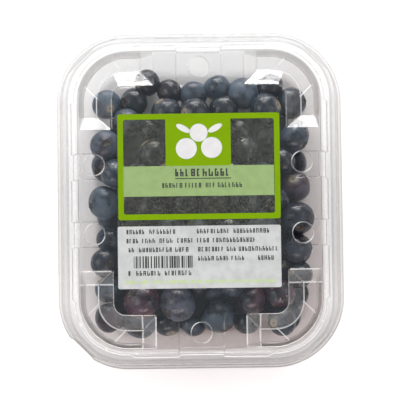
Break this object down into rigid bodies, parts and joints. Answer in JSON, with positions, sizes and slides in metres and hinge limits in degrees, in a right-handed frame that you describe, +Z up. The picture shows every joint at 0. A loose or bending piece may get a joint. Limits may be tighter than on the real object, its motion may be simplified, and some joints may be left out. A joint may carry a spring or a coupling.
{
  "type": "punnet of blueberries",
  "caption": "Shut clear plastic punnet with rounded corners, filled with blueberries, with a vented press-on lid and a film label on top.",
  "frame": {"origin": "middle of the tray's base, on the surface it stands on", "axes": "+X across the pack, +Y along its long side towards the back end, +Z up"},
  "size_m": [0.114, 0.136, 0.04],
  "materials": {
    "tray_plastic": "clear thin thermoformed sheet, glossy",
    "lid_plastic": "clear thin thermoformed sheet, glossy",
    "label_film": "clear film printed in two greens and white, satin",
    "berry_skin": "blue-black fruit skin under a pale waxy bloom"
  },
  "bodies": {
    "root": {"tray": "tray_plastic", "lid": "lid_plastic", "label": "label_film", "berries": "berry_skin"}
  },
  "joints": []
}
